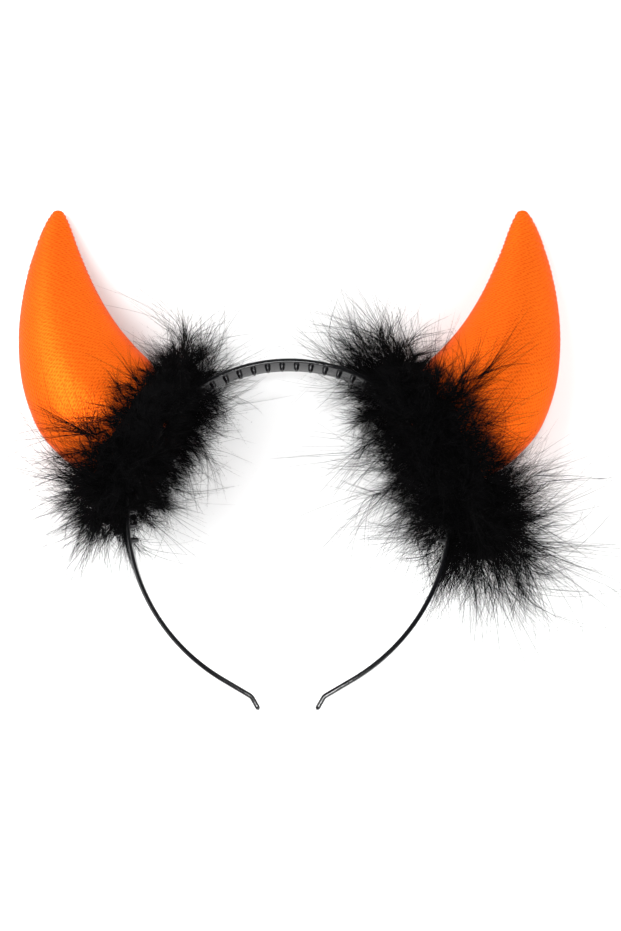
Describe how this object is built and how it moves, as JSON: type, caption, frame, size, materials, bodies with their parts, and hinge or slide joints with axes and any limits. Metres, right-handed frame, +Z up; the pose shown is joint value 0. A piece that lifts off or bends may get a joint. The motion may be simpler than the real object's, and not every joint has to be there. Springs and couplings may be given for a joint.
{
  "type": "devil horns headband",
  "caption": "Thin black plastic headband with comb teeth, two padded orange satin devil horns and a black marabou boa wound round each horn's root.",
  "frame": {"origin": "centre of the bounding box, on the surface that the thing lies on", "axes": "+X across the head, the longest way; +Y from the ends of the arms to the tips of the horns; +Z up off the surface, the shortest way"},
  "size_m": [0.2238, 0.2038, 0.0738],
  "materials": {
    "black_plastic": "glossy moulded black plastic",
    "orange_satin": "orange polyester satin over soft stuffing",
    "black_down": "soft black marabou down"
  },
  "bodies": {
    "root": {"headband": "black_plastic", "horn_left": "orange_satin", "horn_right": "orange_satin", "marabou_left": "black_down", "marabou_right": "black_down"}
  },
  "joints": []
}
